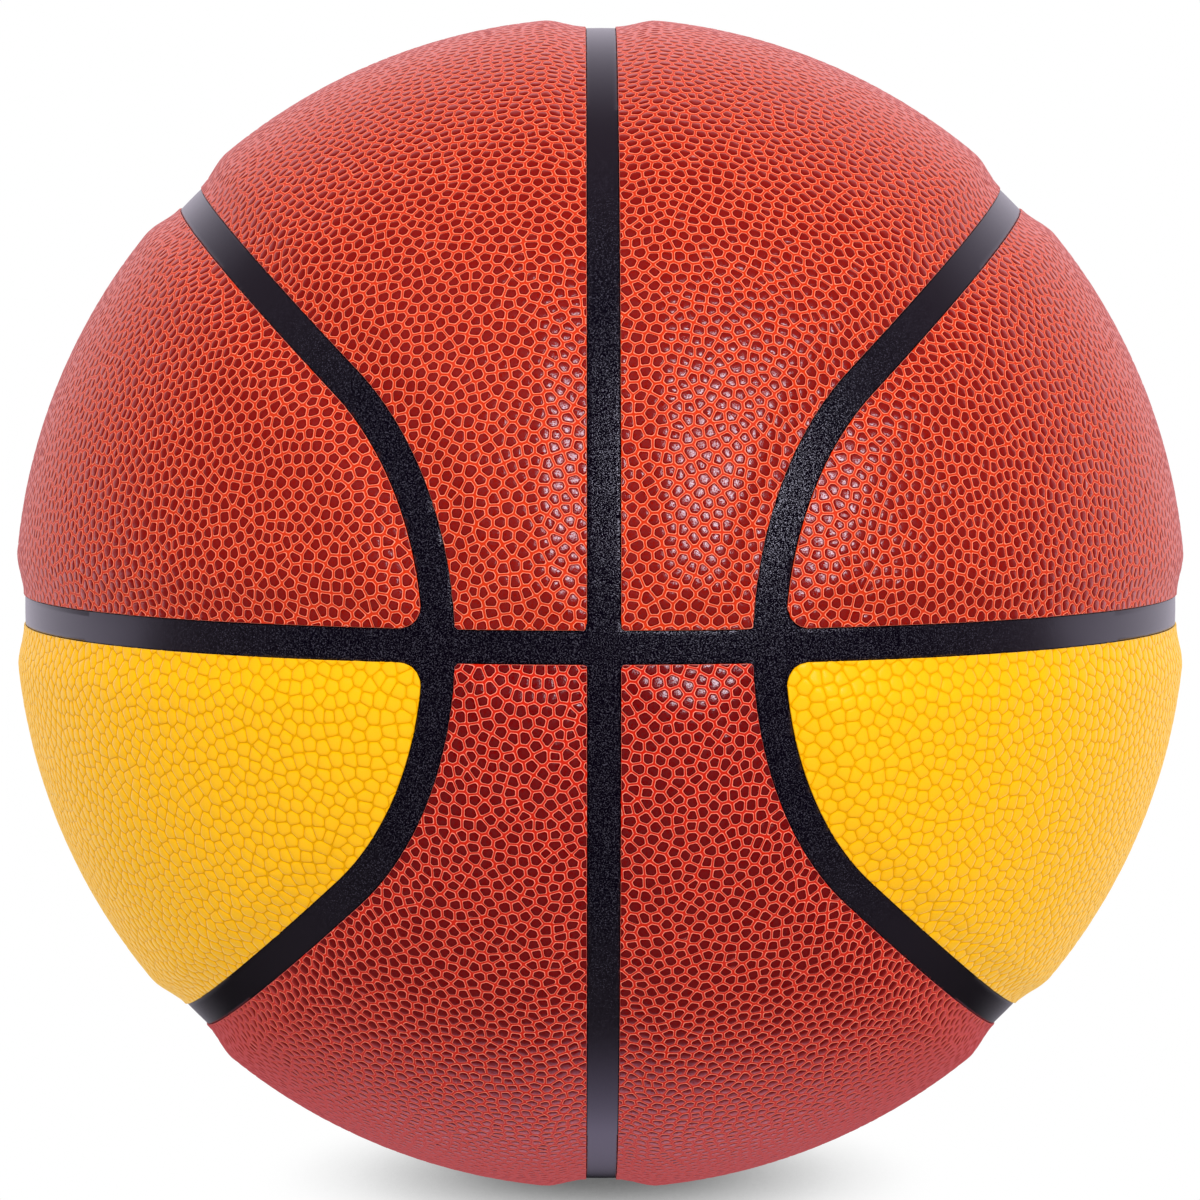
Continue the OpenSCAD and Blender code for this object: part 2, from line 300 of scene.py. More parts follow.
def pebbled_mesh(way, faces, kept, helper, look, rng):
    """Directions, rises and triangles of the pebbles on the kept points. The first
    of the two rises is for the look, the second for the shape."""
    corners, corner, place, real, east, north = cell_places(way, faces, kept, helper)
    cells, widest = real.shape
    number = real.sum(axis=1)
    after = (np.arange(widest)[None, :] + 1) % number[:, None]
    side = np.take_along_axis(place, after[:, :, None], axis=1) - place
    length = np.maximum(np.linalg.norm(side, axis=2, keepdims=True), shortest_side)
    normal = np.stack([side[..., 1], -side[..., 0]], axis=2) / length
    distance = np.sum(normal * place, axis=2)

    # A cell's own height and rim differ a little from the next one's
    height = 1 + rng.uniform(*height_spread, cells)
    rim_change = rng.uniform(-rim_spread, rim_spread, cells)
    inset = look["rim"] / ball_r * (1 + rim_change)[:, None]
    middle = way[kept]
    rim_rise, top_rise, peak_rise = look["rises"]
    ways, rise = [corners], [np.zeros((len(corners), 2))]
    rings = [(share, rim_rise, 1.0) for share in side_points]
    rings.append((0.0, top_rise, look["top"]))
    for share, level, size in rings:
        toward = unit(place + share * side)
        reach = ring_reach(toward, normal, distance, real, inset, look)
        spot = toward * reach[:, :, None] * size
        lift = spot[..., :1] * east[:, None, :] + spot[..., 1:] * north[:, None, :]
        ways.append(unit(middle[:, None, :] + lift).reshape(-1, 3))
        pair = np.stack([np.full(cells, level), height * level], axis=1)
        rise.append(np.repeat(pair, widest, axis=0))
    ways.append(middle)
    rise.append(np.stack([np.full(cells, peak_rise), height * peak_rise], axis=1))

    here = np.arange(cells)[:, None] * widest + np.arange(widest)[None, :]
    there = np.arange(cells)[:, None] * widest + after
    start, block = len(corners), cells * widest
    rim_a, rim_a_next = start + here, start + there
    rim_b = start + block + here
    top, top_next = start + 2 * block + here, start + 2 * block + there
    peak = np.broadcast_to(start + 3 * block + np.arange(cells)[:, None], real.shape)
    corner_next = np.take_along_axis(corner, after, axis=1)
    wanted = [
        (corner, corner_next, rim_b),
        (corner, rim_b, rim_a),
        (corner_next, rim_a_next, rim_b),
        (rim_a, rim_b, top_next),
        (rim_a, top_next, top),
        (rim_b, rim_a_next, top_next),
        (top, top_next, peak),
    ]
    made = np.concatenate([np.stack([p[real] for p in f], axis=1) for f in wanted])
    return np.concatenate(ways), np.concatenate(rise), made


print("rim points for each side of a cell:", len(side_points))

# %% [markdown]
# ## Cutting a panel out
#
# On the real ball a panel is cut from its sheet without regard to the pebbles, so
# the outermost ones are cut through. The same is done here: each triangle that
# crosses the panel's edge is cut along it. From that edge a wall with a slightly
# rounded rim goes down to below the black strip, and a floor closes the piece.
#
# A Boolean with a cutter could do this as well. The distances say at once where a
# triangle's sides cross the edge, which is quicker and never fails.

# %% Cutting and closing
snap = 0.04 * mm


def cut_mesh(way, rise, inside, faces):
    """Keeps the part of the mesh where inside is more than 0."""
    inside = np.where(np.abs(inside) < snap, snap, inside)
    held = inside[faces] > 0
    number = held.sum(axis=1)
    lone = {1: held, 2: ~held}
    turned = {}
    for n in lone:
        chosen = faces[number == n]
        shift = np.argmax(lone[n][number == n], axis=1)
        turned[n] = np.take_along_axis(chosen, (np.arange(3) + shift[:, None]) % 3, 1)
    ends = np.concatenate([turned[n][:, [0, k]] for n in (1, 2) for k in (1, 2)])
    ends, place = np.unique(np.sort(ends, axis=1), axis=0, return_inverse=True)
    a, b = ends[:, 0], ends[:, 1]
    t = inside[a] / (inside[a] - inside[b])
    new_way = unit(way[a] + (way[b] - way[a]) * t[:, None])
    new_rise = rise[a] + (rise[b] - rise[a]) * t[:, None]
    crossing = len(way) + place.reshape(-1)
    one, two = len(turned[1]), len(turned[2])
    ab1, ac1, ab2, ac2 = np.split(crossing, np.cumsum([one, one, two]))
    faces = np.concatenate(
        [
            faces[number == 3],
            np.stack([turned[1][:, 0], ab1, ac1], axis=1),
            np.stack([turned[2][:, 1], turned[2][:, 2], ac2], axis=1),
            np.stack([turned[2][:, 1], ac2, ab2], axis=1),
        ]
    )
    used, faces = np.unique(faces, return_inverse=True)
    faces = faces.reshape(-1, 3)
    way = np.concatenate([way, new_way])[used]
    rise = np.concatenate([rise, new_rise])[used]
    inside = np.concatenate([inside, np.zeros(len(ends))])[used]
    return way, rise, inside, faces


def open_sides(faces):
    """Triangle sides that only one triangle has, in that triangle's direction."""
    sides = np.concatenate([faces[:, [0, 1]], faces[:, [1, 2]], faces[:, [2, 0]]])
    _, place, number = np.unique(
        np.sort(sides, axis=1), axis=0, return_inverse=True, return_counts=True
    )
    return sides[number[place.reshape(-1)] == 1]


def outward(measure, way):
    """The direction along the ball in which the distance inside falls fastest."""
    step = 0.02 * mm / ball_r
    slope = np.stack(
        [
            measure(unit(way + step * axis)) - measure(unit(way - step * axis))
            for axis in np.eye(3)
        ],
        axis=1,
    )
    slope -= np.sum(slope * way, axis=1, keepdims=True) * way
    return -unit(slope)


def add_wall(points, faces, sides, rim_out, levels):
    """Rings below the open sides, each a distance outward and a radius or a drop."""
    rim, place = np.unique(sides, return_inverse=True)
    place = place.reshape(-1, 2)
    last = rim
    parts = [faces]
    for out, radius in levels:
        spot = points[rim] + rim_out * out
        size = radius if radius > 0 else np.linalg.norm(points[rim], axis=1)[:, None] + radius
        ring = len(points) + np.arange(len(rim))
        points = np.concatenate([points, unit(spot) * size])
        a, b = last[place[:, 0]], last[place[:, 1]]
        c, d = ring[place[:, 0]], ring[place[:, 1]]
        parts += [np.stack([b, a, c], axis=1), np.stack([b, c, d], axis=1)]
        last = ring
    return points, np.concatenate(parts), last, place


def floor_faces(rim_way, rim_sides, inner_way, measure, centre):
    """Triangles of a floor between the wall's last ring and some inner places."""
    way = np.concatenate([rim_way, inner_way])
    flat = [tuple(place) for place in flat_map(way, centre).tolist()]
    sides = [tuple(side) for side in rim_sides.tolist()]
    made = delaunay_2d_cdt(flat, sides, [], 0, tiny)
    faces = np.array(made[2])
    middle = unit(way[faces].sum(axis=1))
    return faces[measure(middle) > 0][:, ::-1], len(made[0]) == len(way)


print("points nearer to a cut than this many mm stay:", round(snap / mm, 2))

# %% [markdown]
# ## Meshes, maps and attributes
#
# A map says where each place of a piece lies on a flat picture, which is needed
# when its colours are baked. A cover's map lies in two halves, front and back, side
# by side, so that the long panels fill it well. The floor under the panel is never
# seen and gets a small corner of the map.

# %% Making a piece
map_edge = 0.01
map_half_wide = 0.48
map_foot = 0.06
map_tall = 0.93
map_hidden = 0.03


def even_map(way, centre):
    """Places on a flat map that keeps areas equal."""
    across, along = map_axes(centre)
    size = np.sqrt(2 / (1 + way @ centre))
    return np.stack([way @ across * size, way @ along * size], axis=1)


def piece_map(way, faces, centre, hidden_from):
    """Map places of each triangle corner: two halves side by side."""
    flat = even_map(way, centre)
    corner = flat[faces]
    back = corner[:, :, 1].mean(axis=1) > 0
    corner[~back, :, 1] *= -1
    corner[~back, :, 0] *= -1
    low = corner.reshape(-1, 2).min(axis=0)
    span = corner.reshape(-1, 2).max(axis=0) - low
    place = (corner - low) / span
    place[..., 0] = map_edge + map_half_wide * place[..., 0] + 0.5 * back[:, None]
    place[..., 1] = map_foot + map_tall * place[..., 1]
    hidden = np.arange(len(faces)) >= hidden_from
    place[hidden] = map_edge + map_hidden * (corner[hidden] - low) / span
    return place.reshape(-1, 2)


def add_object(name, data):
    """An object with this data, put into the scene."""
    made = bpy.data.objects.new(name, data)
    bpy.context.scene.collection.objects.link(made)
    return made


def smooth_mesh(name, points, faces, attribute, values):
    """A smooth mesh that keeps a number with each of its points."""
    mesh = bpy.data.meshes.new(name)
    mesh.from_pydata(points, [], faces)
    mesh.shade_smooth()
    store = mesh.attributes.new(attribute, "FLOAT", "POINT")
    store.data.foreach_set("value", values.astype(np.float32))
    return mesh


def make_piece(name, points, faces, places, rise, node):
    """A pebbled piece in place of a node of the solid model."""
    mesh = smooth_mesh(name, points, faces, "rise", rise)
    layer = mesh.uv_layers.new(name="OFBake")
    layer.data.foreach_set("uv", places.ravel().astype(np.float32))
    piece = add_object(name, mesh)
    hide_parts(node)
    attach(piece, "root")
    return piece


print("each half of a map is", map_half_wide, "wide and", map_tall, "tall")

# %% [markdown]
# ## The eight covers
#
# The orange-red covers have wide valleys and flat tops. The yellow ones have
# narrow valleys and rounder tops. The cover with the valve has a round hole, and
# a smooth lip of rubber round it, in the colour of the valleys.
#
# One function makes all eight. It turns a place of its own panel into the upper
# right quarter of the ball, for which the distances are written.

# %% Covers
valve_way = np.array(
    [
        math.cos(valve_up) * math.cos(valve_around),
        math.cos(valve_up) * math.sin(valve_around),
        math.sin(valve_up),
    ]
)
looks = {
    "orange": dict(
        ground=5.2 * mm * mm, rim=0.32 * mm, limit=1.02, sharp=8.0, top=0.84,
        rises=(0.85, 0.98, 1.0), depth=0.27 * mm,
    ),
    "yellow": dict(
        ground=6.6 * mm * mm, rim=0.09 * mm, limit=1.25, sharp=12.0, top=0.72,
        rises=(0.62, 0.94, 1.0), depth=0.28 * mm,
    ),
}
panel_turn = math.radians(22.5)
lip_rise = np.array([0.30, 0.55])
lip_fade = 0.6
cell_overlap = 2.2 * mm
rim_round = 0.10 * mm
wall_out = 0.16 * mm
wall_rise = 0.35
floor_inset = 1.5 * mm
floor_every = 6


def make_cover(kind, right, upper, tint, seed):
    """A pebbled cover with its wall and floor, as one closed mesh."""
    signs = np.array([1.0 if right else -1.0, 1.0, 1.0 if upper else -1.0])
    quarter = ("upper" if upper else "lower") + "_" + ("right" if right else "left")
    shape = inside_side if kind == "side" else inside_band
    turn = panel_turn if kind == "side" else math.pi / 2 - panel_turn
    centre = np.array([math.cos(turn), 0.0, math.sin(turn)]) * signs
    holed = kind == "side" and right and upper
    sheet_tint = tint.split("_")[0]
    look = looks[sheet_tint]
    rng = np.random.default_rng(seed)

    def from_valve(way):
        return ball_r * np.arccos(np.clip(way @ valve_way, -1, 1)) - valve_hole_r

    def inside(way):
        edge = shape(way * signs)
        return np.minimum(edge, from_valve(way)) if holed else edge

    spread = even_spread(look["ground"])
    pitch = math.sqrt(look["ground"]) / ball_r
    way = spread[shape(spread * signs) > -margin]
    way = unit(way + rng.uniform(-1, 1, way.shape) * pitch * jitter_share)
    way = settle(way, centre, pitch)
    faces = join_neighbours(way, centre)
    kept = np.flatnonzero(shape(way * signs) > -cell_overlap)
    helper = np.cross(centre, [0.0, 1.0, 0.0])
    way_all, rise, faces = pebbled_mesh(way, faces, kept, helper, look, rng)
    way_all, rise, _, faces = cut_mesh(way_all, rise, inside(way_all), faces)

    edge = shape(way_all * signs)
    if holed:
        lip = (1 + lip_fade - from_valve(way_all) / valve_lip) / lip_fade
        rise = rise + (lip_rise - rise) * np.clip(lip, 0, 1)[:, None]
    radius = base_radius(edge) - look["depth"] * (1 - rise[:, 1])
    points = way_all * radius[:, None]

    sides = open_sides(faces)
    rim = np.unique(sides)
    rim_out = outward(inside, way_all[rim])
    levels = [(rim_round, -rim_round), (wall_out, carcass_seat_r)]
    points, faces, ring, place = add_wall(points, faces, sides, rim_out, levels)
    wall_end = len(faces)

    inner = way[shape(way * signs) > floor_inset][::floor_every]
    inner = inner[inside(inner) > floor_inset]
    closing, whole = floor_faces(unit(points[ring]), place, inner, inside, centre)
    index = np.concatenate([ring, len(points) + np.arange(len(inner))])
    low = np.where(inside(inner) > pad_inset, pad_top_r, carcass_seat_r)
    points = np.concatenate([points, inner * low[:, None]])
    faces = np.concatenate([faces, index[closing]])
    rise = np.concatenate([rise[:, 0], np.full(len(points) - len(rise), wall_rise)])

    places = piece_map(unit(points), faces, centre, wall_end)
    name = "cover_" + quarter + "_" + kind
    piece = make_piece(
        name + "_pebbled", points, faces, places, rise, name
    )
    print(name, "pebbles:", len(kept), "triangles:", len(faces), "closed:", whole)
    return piece


covers = {"orange_upper": [], "orange_lower": [], "yellow": []}
seed = 11
seed_step = 7
for kind in ("side", "band"):
    for upper in (True, False):
        for right in (False, True):
            tint = "yellow" if kind == "side" else "orange_lower"
            if upper:
                tint = "orange_upper"
            seed += seed_step
            covers[tint].append(make_cover(kind, right, upper, tint, seed))

# %% [markdown]
# ## The black net
#
# The channels are one moulded net of rubber strips. Its surface is a plain part of
# a sphere, so a grid of squares on the sphere, cut along the panels' edges, is
# enough. It runs on a little way under the panels. How far each point lies from
# the panels' edges is kept with the mesh, for a painted line of shadow along them.

# %% Channel net
net_grid = 84
net_under = 0.45 * mm
net_low = 0.5 * mm


def square_sphere(count):
    """Directions and triangles of a cube's six gridded faces, blown up to a sphere."""
    line = np.tan(np.linspace(-1, 1, count + 1) * math.pi / 4)
    u, v = np.meshgrid(line, line, indexing="ij")
    flat = np.stack([u.ravel(), v.ravel(), np.ones(u.size)], axis=1)
    i, j = np.meshgrid(np.arange(count), np.arange(count), indexing="ij")
    a = (i * (count + 1) + j).ravel()
    b, c, d = a + count + 1, a + count + 2, a + 1
    grid = np.concatenate([np.stack([a, b, c], axis=1), np.stack([a, c, d], axis=1)])
    ways, parts = [], []
    for axis in range(3):
        for sign in (1, -1):
            order = [(axis + 1) % 3, (axis + 2) % 3, axis]
            side = np.empty_like(flat)
            side[:, order] = flat * np.array([1, 1, sign])
            parts.append((grid if sign > 0 else grid[:, ::-1]) + len(flat) * len(ways))
            ways.append(unit(side))
    way = np.concatenate(ways)
    _, first, place = np.unique(
        np.round(way, 7), axis=0, return_index=True, return_inverse=True
    )
    return way[first], place.reshape(-1)[np.concatenate(parts)]


def beside_panels(way):
    """Distance from the nearest panel's edge, less than 0 under the panel."""
    folded = np.abs(way)
    return -np.maximum(inside_side(folded), inside_band(folded))


net_way, net_faces = square_sphere(net_grid)
net_away = beside_panels(net_way)
net_way, net_away, _, net_faces = cut_mesh(
    net_way, net_away[:, None], net_away + net_under, net_faces
)
net_top = len(net_way)
net_sides = open_sides(net_faces)
net_points = np.concatenate([net_way * strip_r, net_way * (strip_r - net_low)])
a, b = net_sides[:, 0], net_sides[:, 1]
net_faces = np.concatenate(
    [
        net_faces,
        net_faces[:, ::-1] + net_top,
        np.stack([b, a, a + net_top], axis=1),
        np.stack([b, a + net_top, b + net_top], axis=1),
    ]
)
net_away_mm = np.tile(net_away.ravel() / mm, 2)
net_mesh = smooth_mesh(
    "channel_network_grained", net_points, net_faces, "away", net_away_mm
)
channel_net = add_object("channel_network_grained", net_mesh)
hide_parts("channel_network")
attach(channel_net, "root")
print("net triangles:", len(net_faces))

# %% [markdown]
# ## Materials
#
# A cover's colour follows the rise of its pebbles. On the orange-red covers the
# valleys are orange-red, a bright line round the foot of each pebble is a painted
# highlight, the pebble's wall and rim are darkened with painted shade, and the tops
# are dark. On the yellow ones the valleys are amber, with a darker line of painted
# shade at the foot of each pebble. A picture of all this could be laid on the ball,
# but colours that follow the mesh always fit it.
#
# A material is a small net of nodes. Each helper below adds one node to it, joins
# it to what comes before and hands on its result.

# %% Node helpers
def new_material(name):
    """A material with the lists of its nodes and links."""
    material = bpy.data.materials.new(name)
    material.use_nodes = True
    return material, material.node_tree.nodes, material.node_tree.links


def ramp_node(tree_nodes, links, share, stops):
    """The colour at a share from 0 to 1, between stops of (place, colour)."""
    node = tree_nodes.new("ShaderNodeValToRGB")
    links.new(share, node.inputs["Fac"])
    ramp = node.color_ramp
    while len(ramp.elements) < len(stops):
        ramp.elements.new(0.5)
    for element, (place, colour) in zip(ramp.elements, stops):
        element.position = place
        element.color = (*colour, 1)
    return node.outputs["Color"]


def noise_node(tree_nodes, links, scale, detail=2.0, distortion=0.0):
    """Noise that is fixed to the ball, with its scale in grains to the metre."""
    where = tree_nodes.new("ShaderNodeTexCoord")
    noise = tree_nodes.new("ShaderNodeTexNoise")
    noise.inputs["Scale"].default_value = scale
    noise.inputs["Detail"].default_value = detail
    noise.inputs["Distortion"].default_value = distortion
    links.new(where.outputs["Object"], noise.inputs["Vector"])
    return noise.outputs["Fac"]


def grey(value):
    return (value, value, value)


def mix_node(tree_nodes, links, share, first, second):
    """A colour between two, each a colour or a socket."""
    node = tree_nodes.new("ShaderNodeMix")
    node.data_type = "RGBA"
    links.new(share, node.inputs["Factor"])
    for socket, value in ((node.inputs["A"], first), (node.inputs["B"], second)):
        if isinstance(value, tuple):
            socket.default_value = (*value, 1)
        else:
            links.new(value, socket)
    return node.outputs["Result"]


def share_node(tree_nodes, links, value, low, high):
    """0 to 1 while a value goes from low to high."""
    node = tree_nodes.new("ShaderNodeMapRange")
    node.inputs["From Min"].default_value = low
    node.inputs["From Max"].default_value = high
    links.new(value, node.inputs["Value"])
    return node.outputs["Result"]


def slant_node(tree_nodes):
    """0 where the surface faces the eye, 1 at the outline."""
    slant = tree_nodes.new("ShaderNodeLayerWeight")
    slant.inputs["Blend"].default_value = 0.5
    return slant.outputs["Facing"]


def product_node(tree_nodes, links, first, second):
    """One number times another."""
    node = tree_nodes.new("ShaderNodeMath")
    node.operation = "MULTIPLY"
    links.new(first, node.inputs[0])
    links.new(second, node.inputs[1])
    return node.outputs["Value"]


def bump_node(tree_nodes, links, height, strength, distance):
    """Small relief that follows a height. The distance is its rise in metres."""
    bump = tree_nodes.new("ShaderNodeBump")
    bump.inputs["Strength"].default_value = strength
    bump.inputs["Distance"].default_value = distance
    links.new(height, bump.inputs["Height"])
    return bump


print("a grey as red, green and blue:", grey(0.5))

# %% [markdown]
# The rise comes in as an attribute of the mesh. The ramp's stops are set close
# together where a colour changes sharply, at the foot and the rim of a pebble. Seen
# at a flat angle, near the ball's outline, the colour goes to one pale tone, a
# painted sheen in which the pebbles hardly show, and the gloss of the tops goes.
# Fine streaks break up that gloss.

# %% Cover materials
cover_grain_scale = 3300
cover_grain_height = 0.04 * mm
cover_index = 1.68
streak_from = 0.37
streak_to = 0.54
# How far toward the outline the painted sheen takes over the colour.
sheen_shares = [
    (0.36, grey(0.0)), (0.52, grey(0.14)), (0.66, grey(0.45)), (0.84, grey(0.92)),
]
lower_sheen_shares = [
    (0.36, grey(0.0)), (0.46, grey(0.15)), (0.55, grey(0.50)), (0.64, grey(0.80)),
    (0.80, grey(0.95)),
]
gloss_shares = [(0.45, grey(1.0)), (0.75, grey(0.0))]


def cover_material(name, colours, painted_sheen_tones, painted_sheen_shares, shine, gloss, sheen_colour, grain):
    """Colour, roughness and gloss by the rise, and a painted pale sheen by the slant."""
    material, tree_nodes, links = new_material(name)
    surface = tree_nodes["Principled BSDF"]
    rise_in = tree_nodes.new("ShaderNodeAttribute")
    rise_in.attribute_name = "rise"
    noise = noise_node(tree_nodes, links, cover_grain_scale, 1.5, 0.6)

    def by(source, stops):
        return ramp_node(tree_nodes, links, source, stops)

    rise, slant = rise_in.outputs["Fac"], slant_node(tree_nodes)
    # Painted sheen: near the outline the colour goes to one pale tone.
    painted_sheen = by(slant, painted_sheen_tones)
    colour = mix_node(tree_nodes, links, by(slant, painted_sheen_shares), by(rise, colours), painted_sheen)
    links.new(colour, surface.inputs["Base Color"])
    links.new(by(rise, shine), surface.inputs["Roughness"])
    streaks = by(noise, [(streak_from, grey(1 - grain)), (streak_to, grey(1.0))])
    level = product_node(tree_nodes, links, by(rise, gloss), streaks)
    level = product_node(tree_nodes, links, level, by(slant, gloss_shares))
    links.new(level, surface.inputs["Specular IOR Level"])
    surface.inputs["Specular Tint"].default_value = (*sheen_colour, 1)
    surface.inputs["IOR"].default_value = cover_index
    bump = bump_node(tree_nodes, links, noise, grain, cover_grain_height)
    links.new(bump.outputs["Normal"], surface.inputs["Normal"])
    return material


def orange_stops(valley, foot_highlight, wall_shade, rim, top):
    """Colours from the valley's floor over the pebble's foot and wall to its top.
    The foot is a painted highlight, the wall and rim are painted shade.
    """
    return [
        (0.0, valley), (0.37, valley), (0.45, foot_highlight), (0.53, foot_highlight), (0.61, wall_shade),
        (0.71, rim), (0.88, rim), (0.95, top),
    ]


orange_shine = [(0.0, grey(0.45)), (0.9, grey(0.20))]
orange_gloss = [(0.86, grey(0.06)), (0.95, grey(1.0))]
cool_sheen = (0.84, 0.82, 1.0)
lilac_sheen = (0.96, 0.89, 1.0)
orange_upper = cover_material(
    "orange_cover_upper",
    colours=orange_stops(
        valley=(0.64, 0.030, 0.002),
        # The foot is a painted highlight, the wall and rim are painted shade.
        foot_highlight=(1.0, 0.33, 0.20),
        wall_shade=(0.44, 0.007, 0.0),
        rim=(0.18, 0.001, 0.0),
        top=(0.25, 0.003, 0.0),
    ),
    # Tones of the painted sheen near the outline.
    painted_sheen_tones=[(0.50, (0.63, 0.085, 0.050)), (0.84, (0.70, 0.28, 0.29))],
    painted_sheen_shares=sheen_shares,
    shine=orange_shine,
    gloss=orange_gloss,
    sheen_colour=lilac_sheen,
    grain=1.0,
)
orange_lower = cover_material(
    "orange_cover_lower",
    colours=orange_stops(
        valley=(0.60, 0.012, 0.0),
        # The foot is a painted highlight, the wall and rim are painted shade.
        foot_highlight=(1.0, 0.31, 0.21),
        wall_shade=(0.33, 0.002, 0.0),
        rim=(0.13, 0.0, 0.0),
        top=(0.172, 0.0, 0.0),
    ),
    # The lower covers' painted sheen is dimmer, as they face the shaded floor.
    painted_sheen_tones=[(0.52, (0.54, 0.044, 0.036)), (0.88, (0.56, 0.115, 0.130))],
    painted_sheen_shares=lower_sheen_shares,
    shine=orange_shine,
    gloss=orange_gloss,
    sheen_colour=lilac_sheen,
    grain=1.0,
)
yellow_cover = cover_material(
    "yellow_cover",
    colours=[
        (0.0, (0.92, 0.40, 0.0)),
        # The darker stops at 0.20 and 0.42 are a line of painted shade at each pebble's foot.
        (0.20, (0.80, 0.36, 0.0)),
        (0.42, (0.74, 0.34, 0.0)),
        (0.62, (1.0, 0.47, 0.0)),
        (1.0, (1.0, 0.51, 0.0)),
    ],
    # Tones of the painted sheen near the outline.
    painted_sheen_tones=[(0.50, (1.0, 0.58, 0.08)), (0.84, (1.0, 0.66, 0.24))],
    painted_sheen_shares=sheen_shares,
    shine=[(0.0, grey(0.4)), (1.0, grey(0.28))],
    gloss=[(0.60, grey(0.01)), (1.0, grey(0.13))],
    sheen_colour=(1.0, 1.0, 1.0),
    grain=0.2,
)
for tint, material in (
    ("orange_upper", orange_upper),
    ("orange_lower", orange_lower),
    ("yellow", yellow_cover),
):
    for piece in covers[tint]:
        piece.data.materials.append(material)
    print(material.name, "on", len(covers[tint]), "covers")

# %% [markdown]
# The black strips have a fine leathery grain. Single grains are glossier, so they
# catch the light, and paler, which is partly their own colour and partly painted
# glints, as small pale specks. Along the panels' edges runs a painted line of
# shadow. Such fine grain needs no mesh: noise gives the specks and the relief. Both
# fade where the strip is seen at a flat angle, because there the grains can't be told
# apart. There the colour goes to one smooth tone, partly the grains' mean colour and
# partly a painted sheen.

# %% Channel material
strip_grain_scale = 4600
strip_grain_height = 0.07 * mm
strip_index = 1.6
strip_roughness = 0.22
strip_far_level = 0.6
near_slant = 0.15
far_slant = 0.42
pit_tone = (0.002, 0.001, 0.004)
speck_grain_and_glint_tone = (0.055, 0.049, 0.072)
# Tone at a flat angle: partly the grains' mean colour, partly a painted sheen.
smooth_tone_and_sheen = (0.016, 0.011, 0.017)
# Colour of the painted line of shadow along the panels' edges.
edge_shadow_tone = (0.001, 0.001, 0.001)

channel_rubber, tree_nodes, links = new_material("channel_rubber")
surface = tree_nodes["Principled BSDF"]
noise = noise_node(tree_nodes, links, strip_grain_scale, 1.0)
slant = slant_node(tree_nodes)
away_in = tree_nodes.new("ShaderNodeAttribute")
away_in.attribute_name = "away"
away = away_in.outputs["Fac"]
open_share = ramp_node(tree_nodes, links, away, [(0.24, grey(0.0)), (0.36, grey(1.0))])
fade_stops = [(near_slant, grey(0.0)), (far_slant, grey(1.0))]
fade = ramp_node(tree_nodes, links, slant, fade_stops)
# Pale specks: partly the grains' own colour, partly painted glints.
grain_and_glint_specks = ramp_node(tree_nodes, links, noise, [(0.53, pit_tone), (0.70, speck_grain_and_glint_tone)])
glints = ramp_node(tree_nodes, links, noise, [(0.52, grey(0.0)), (0.62, grey(1.0))])
# At a flat angle the colour goes to one smooth tone, partly a painted sheen.
colour = mix_node(tree_nodes, links, fade, grain_and_glint_specks, smooth_tone_and_sheen)
# Near the panels' edges the colour goes to a painted line of shadow.
colour = mix_node(tree_nodes, links, open_share, edge_shadow_tone, colour)
links.new(colour, surface.inputs["Base Color"])
level = mix_node(tree_nodes, links, fade, glints, grey(strip_far_level))
level = product_node(tree_nodes, links, level, open_share)
links.new(level, surface.inputs["Specular IOR Level"])
surface.inputs["Specular Tint"].default_value = (*cool_sheen, 1)
surface.inputs["Roughness"].default_value = strip_roughness
surface.inputs["IOR"].default_value = strip_index
relief_stops = [(near_slant, grey(1.0)), (far_slant, grey(0.1))]
relief = ramp_node(tree_nodes, links, slant, relief_stops)
bump = bump_node(tree_nodes, links, noise, 1.0, strip_grain_height)
links.new(relief, bump.inputs["Strength"])
links.new(bump.outputs["Normal"], surface.inputs["Normal"])
channel_net.data.materials.append(channel_rubber)
print("material of the strips:", channel_rubber.name)

# %% [markdown]
# The layers inside keep the solid model's shapes. Sponge rubber has pores, the
# wound layer shows its threads, and the other rubbers are smooth. The threads could
# be modelled one by one, but they lie under the carcass, where bands of a wave
# texture are enough.

# %% Materials of the inner layers
rubber_relief = 0.1 * mm
thread_scale = 420
thread_bend = 6
thread_relief = 0.3 * mm


def plain_rubber(name, colour, roughness, scale, grain):
    """Rubber in two close tones, with pores or unevenness of the same noise."""
    material, tree_nodes, links = new_material(name)
    surface = tree_nodes["Principled BSDF"]
    noise = noise_node(tree_nodes, links, scale)
    darker = tuple(0.8 * c for c in colour)
    tone = ramp_node(tree_nodes, links, noise, [(0.35, darker), (0.65, colour)])
    links.new(tone, surface.inputs["Base Color"])
    surface.inputs["Roughness"].default_value = roughness
    bump = bump_node(tree_nodes, links, noise, grain, rubber_relief)
    links.new(bump.outputs["Normal"], surface.inputs["Normal"])
    return material


def thread_material(name, colour):
    """Thread in wavy rows, dark in the gaps between them."""
    material, tree_nodes, links = new_material(name)
    surface = tree_nodes["Principled BSDF"]
    where = tree_nodes.new("ShaderNodeTexCoord")
    wave = tree_nodes.new("ShaderNodeTexWave")
    wave.bands_direction = "DIAGONAL"
    wave.inputs["Scale"].default_value = thread_scale
    wave.inputs["Distortion"].default_value = thread_bend
    links.new(where.outputs["Object"], wave.inputs["Vector"])
    rows = wave.outputs["Fac"]
    gap_tone = tuple(0.4 * c for c in colour)
    tone = ramp_node(tree_nodes, links, rows, [(0.0, gap_tone), (0.7, colour)])
    links.new(tone, surface.inputs["Base Color"])
    surface.inputs["Roughness"].default_value = 0.7
    bump = bump_node(tree_nodes, links, rows, 0.8, thread_relief)
    links.new(bump.outputs["Normal"], surface.inputs["Normal"])
    return material


